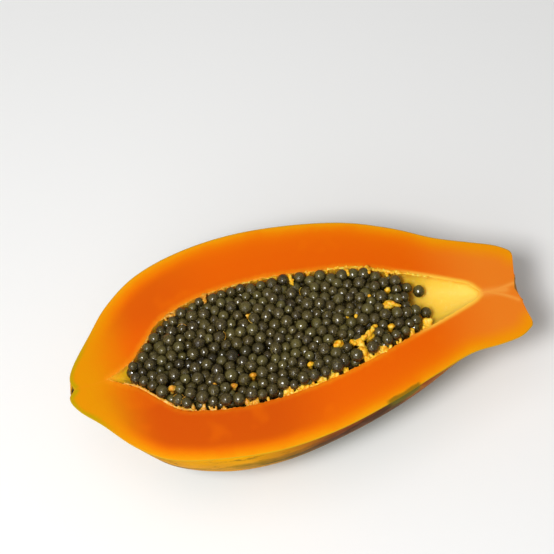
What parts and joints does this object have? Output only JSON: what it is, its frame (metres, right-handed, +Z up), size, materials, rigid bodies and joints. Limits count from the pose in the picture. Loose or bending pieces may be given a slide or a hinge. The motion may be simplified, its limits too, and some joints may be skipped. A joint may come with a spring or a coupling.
{
  "type": "papaya half",
  "caption": "Ripe papaya cut in half lengthwise, lying on its round back: orange flesh in green-gold skin round a long hollow packed with dark wet seeds.",
  "frame": {"origin": "middle of the box round the half, on the surface that it lies on", "axes": "+X from the blossom end to the stem end, +Y to the wider side of the cut, +Z up out of the cut face"},
  "size_m": [0.2706, 0.141, 0.0751],
  "materials": {
    "flesh_and_skin": "moist orange flesh, golden to green waxy skin",
    "seeds": "wet, near-black"
  },
  "bodies": {
    "root": {"flesh_and_skin": "flesh_and_skin", "seeds": "seeds"}
  },
  "joints": []
}
